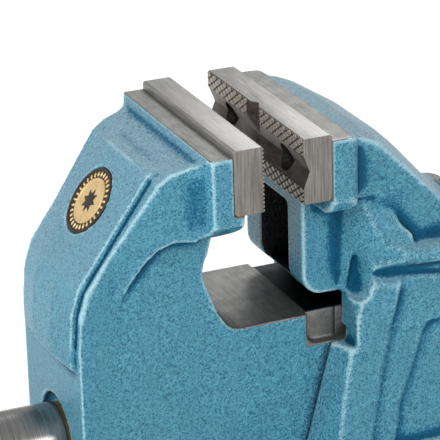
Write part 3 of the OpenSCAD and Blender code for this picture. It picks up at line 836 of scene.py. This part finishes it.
def make_thread(x0, x1, outer, inner):
    """The mesh of a trapezoidal thread turned about the spindle's axis."""
    profile = ((0.0, inner), (0.22, inner), (0.36, outer), (0.78, outer), (0.92, inner))    # over one turn
    steps = 40
    rows = int((x1 - x0) / THREAD_PITCH * steps) + 1
    verts, faces = [], []
    for row in range(rows):
        a = 2 * math.pi * row / steps
        for share, radius in profile:
            x = x0 + THREAD_PITCH * (row / steps + share - 0.5)
            radius = inner if x < x0 or x > x1 else radius
            x = min(max(x, x0), x1)
            verts.append((x, -radius * math.sin(a), spindle_z + radius * math.cos(a)))
    per = len(profile)
    for row in range(rows - 1):
        for k in range(per - 1):
            a = row * per + k
            faces.append((a, a + 1, a + 1 + per, a + per))
    for row in range(rows - steps - 1):
        a, b = row * per + per - 1, (row + steps) * per
        faces.append((a, b, b + per, a + per))
    mesh = bpy.data.meshes.new("thread")
    mesh.from_pydata(verts, [], faces)
    return mesh


def make_spindle(polished, screw):
    """The head with the handle's cross hole and the journal behind it, and the screw."""
    head_r, head_l, rounding = 19 * MM, 54.25 * MM, 2.6 * MM
    journal_r, journal_l, neck_r = 14 * MM, 41 * MM, 10.4 * MM
    bevel = 0.5 * MM
    profile = [(0, 0)]
    for i in range(7):
        a = math.pi / 2 * (1 - i / 6)
        profile.append((rounding * (1 - math.sin(a)), head_r - rounding * (1 - math.cos(a))))
    profile += [(head_l - bevel, head_r), (head_l, head_r - bevel), (head_l, journal_r),
                (head_l + journal_l, journal_r), (head_l + journal_l, neck_r),
                (head_l + journal_l + bevel, 0)]
    piece = lathe("spindle_head", profile, 96, (spindle_low.x, 0, spindle_z))
    hole_r, reach = 7.3 * MM, 2 * head_r
    hole = [(-reach, 0), (-reach, hole_r), (reach, hole_r), (reach, 0)]
    cutter = lathe("hole_cutter", hole, 48, (0, 0, 0))
    place = Matrix.Translation((handle_x, 0, spindle_z))
    cutter.data.transform(place @ Matrix.Rotation(math.pi / 2, 4, "Z"))
    modifier = piece.modifiers.new("hole", "BOOLEAN")
    modifier.object = cutter
    modifier.solver = "EXACT"
    apply_modifiers(piece)
    bpy.data.objects.remove(cutter)
    shade_by_angle(piece)
    settle(piece, "screw", "spindle_steel", polished, "spindle")
    thread_start, outer_r, core_r = -139 * MM, 13 * MM, 10.5 * MM
    thread = add("spindle_screw", make_thread(thread_start, spindle_high.x, outer_r, core_r))
    shade_by_angle(thread, 40)
    settle(thread, "screw", "spindle_steel", screw)


# ------------------------------------------------------------------ medallion

BADGE_TILT = math.radians(54)
BADGE_CENTRE = (-154.1 * MM, 0, 174.6 * MM)      # of its back, on the floor of the recess
BRASS_SLOT, PATINA_SLOT = 0, 1


def circle(radius, height, count):
    return [(radius * math.cos(2 * math.pi * i / count), radius * math.sin(2 * math.pi * i / count), height)
            for i in range(count)]


def turn_rings(shape, profile, slot):
    """Joins circles of (radius, height) pairs into a band, and gives the first and the last circle."""
    count = 96
    rows = [[shape.verts.new(point) for point in circle(*pair, count)] for pair in profile]
    for lower, upper in zip(rows, rows[1:]):
        for i in range(count):
            j = (i + 1) % count
            shape.faces.new((lower[i], lower[j], upper[j], upper[i])).material_index = slot
    return rows[0], rows[-1]


def add_ticks(shape):
    """Thirty light ticks, lying along the radii of the dark ring."""
    ticks = 30
    for i in range(ticks):
        turned = Matrix.Rotation(2 * math.pi * i / ticks, 4, "Z")
        moved = Matrix.Translation((14.6 * MM, 0, 1.45 * MM)) @ Matrix.Diagonal((1.5, 0.7, 0.5, 1))
        made = bmesh.ops.create_uvsphere(shape, u_segments=10, v_segments=6, radius=1 * MM,
                                         matrix=turned @ moved)
        for vert in made["verts"]:
            for face in vert.link_faces:
                face.material_index = BRASS_SLOT


def add_star(shape):
    """A low pyramid on a plain star with eight points."""
    outer_r, inner_r, low, tall = 7.8 * MM, 4.4 * MM, 1.5 * MM, 2.4 * MM
    corners = 16
    pairs = zip(circle(outer_r, low, corners), circle(inner_r, low, corners))
    rim = [shape.verts.new(pair[i % 2]) for i, pair in enumerate(pairs)]
    peak = shape.verts.new((0, 0, tall))
    under = shape.verts.new((0, 0, low))
    for i in range(corners):
        j = (i + 1) % corners
        shape.faces.new((rim[i], rim[j], peak)).material_index = PATINA_SLOT
        shape.faces.new((rim[j], rim[i], under)).material_index = PATINA_SLOT


def make_badge(brass, patina):
    """A round medallion: a dark ring with light ticks round a light disc with a dark star."""
    radius = (badge_high.y - badge_low.y) / 2
    disc_r, rim_h, ring_h, face_h = 12.6 * MM, 2.1 * MM, 1.4 * MM, 1.6 * MM
    shape = bmesh.new()
    back, _ = turn_rings(shape, (
        (radius - 0.1 * MM, 0), (radius, 0.2 * MM), (radius, rim_h - 0.4 * MM), (radius - 0.3 * MM, rim_h),
        (radius - 1.1 * MM, rim_h), (radius - 1.5 * MM, ring_h), (disc_r, ring_h)), PATINA_SLOT)
    _, face = turn_rings(shape, (
        (disc_r, ring_h), (disc_r - 0.3 * MM, face_h + 0.3 * MM), (disc_r - 1 * MM, face_h + 0.3 * MM),
        (disc_r - 1.4 * MM, face_h), (0.2 * MM, face_h)), BRASS_SLOT)
    shape.faces.new(back[::-1]).material_index = PATINA_SLOT
    shape.faces.new(face).material_index = BRASS_SLOT
    add_ticks(shape)
    add_star(shape)
    bmesh.ops.remove_doubles(shape, verts=shape.verts, dist=0.001 * MM)
    bmesh.ops.recalc_face_normals(shape, faces=shape.faces)
    mesh = bpy.data.meshes.new("medallion")
    shape.to_mesh(mesh)
    shape.free()
    mesh.transform(Matrix.Translation(BADGE_CENTRE) @ Matrix.Rotation(-BADGE_TILT, 4, "Y"))
    piece = add("medallion", mesh)
    mesh.materials.append(brass)
    mesh.materials.append(patina)
    shade_by_angle(piece, 35)
    settle(piece, "moving_jaw", "badge_brass", None, "badge")


# ------------------------------------------------------------------ parts with the CAD's shape

def finish_cad_nodes(finishes):
    for node, material in finishes.items():
        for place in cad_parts[node].material_slots:
            place.material = material


def make_small_parts(dark, bronze, plastic):
    """Small parts with the CAD's shape and bevelled edges."""
    for node, name, width, body, slot, material in (
            ("spindle_nut", "nut_visual", 0.5 * MM, "fixed_body", "bronze", bronze),
            ("guide_gib", "gib_visual", 0.4 * MM, "fixed_body", "bronze", bronze),
            ("gib_lock_nuts", "lock_nuts_visual", 0.3 * MM, "fixed_body", "dark_steel", dark),
            ("slide_end_cover", "end_cover_visual", 0.7 * MM, "moving_jaw", "black_plastic", plastic),
            ("retaining_collar", "collar_visual", 0.5 * MM, "screw", "dark_steel", dark)):
        piece = cad_copy(node, name)
        bevel_edges(piece, width)
        settle(piece, body, slot, material, node)


# ------------------------------------------------------------------ build

make_camera()
make_stage()

paint = paint_material()
plate_top_steel = brushed_material("ground_top", "a8a7a4", "7f7e7b", (1, 0.05, 1), (0.42, 0.56))
plate_end_steel = brushed_material("ground_end", "9d9894", "615d59", (1, 1, 0.04), (0.4, 0.55))
slide_steel = brushed_material("milled_slide", "959390", "65625f", (0.05, 1, 1), (0.3, 0.48), grease_and_shadow_band=True)
polished = turned_material("turned_steel", "a3a2a0", "7d7c7a")
screw_steel = turned_material("screw_steel", "a8a39c", "6e6862", (0.25, 0.4))
dark = dark_steel_material()
bronze = bronze_material()
plastic = plastic_material()

make_front_casting(paint)
make_rear_casting(paint)
make_slide(slide_steel)
plate_finishes = (plate_top_steel, plate_end_steel, groove_material(), knurl_material(), dark)
make_plate("flat_plate", "front_jaw_plate", "moving_jaw", 1, False, plate_finishes)
make_plate("prism_plate", "rear_jaw_plate", "fixed_body", -1, True, plate_finishes)
make_spindle(polished, screw_steel)
make_badge(brass_material(), enamel_material())
make_small_parts(dark, bronze, plastic)
finish_cad_nodes({
    "rear_plate_screws": dark, "front_plate_screws": dark, "gib_screws": dark, "cover_screws": dark,
    "nut_bolts": dark, "nut_bolt_washers": slide_steel, "thrust_washer": bronze, "collar_pin": polished,
    "handle_bar": polished, "handle_knob_left": polished, "handle_knob_right": polished,
    "handle_bumper_rings": rubber_material()})
